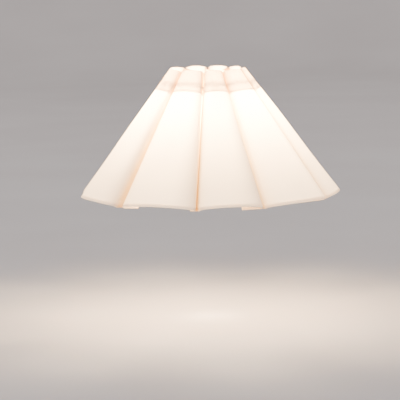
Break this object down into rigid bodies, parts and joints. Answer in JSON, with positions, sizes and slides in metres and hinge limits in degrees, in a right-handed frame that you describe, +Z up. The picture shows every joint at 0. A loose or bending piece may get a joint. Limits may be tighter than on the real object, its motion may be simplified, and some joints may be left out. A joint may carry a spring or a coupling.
{
  "type": "lamp shade",
  "caption": "Pleated fabric lamp shade with rounded lobes and narrow inward folds, on a threaded wire ring with drop arms to a lampholder fitter.",
  "frame": {"origin": "centre of the fitter's bore, in the plane of its underside, where the shade rests on the lampholder's shoulder", "axes": "+Z up along the shade's axis; -Y faces the viewer and +X is the viewer's right"},
  "size_m": [0.2954, 0.2948, 0.1518],
  "materials": {
    "cover_cloth": "warm white plain-weave linen blend, matt",
    "backing_film": "frosted translucent film",
    "seam_tape": "double-sided tape",
    "coated_wire": "white powder coat, satin",
    "bare_steel": "nickel-plated steel"
  },
  "bodies": {
    "root": {"cover_fabric": "cover_cloth", "cover_backing": "backing_film", "top_facing": "cover_cloth", "bottom_hem": "cover_cloth", "seam_tapes": "seam_tape", "carrier_ring": "coated_wire", "ring_ferrule": "bare_steel", "fold_eyelets": "bare_steel", "fitter_ring": "coated_wire", "drop_arm_1": "coated_wire", "drop_arm_2": "coated_wire", "drop_arm_3": "coated_wire", "drop_arm_4": "coated_wire", "drop_arm_5": "coated_wire"}
  },
  "joints": []
}
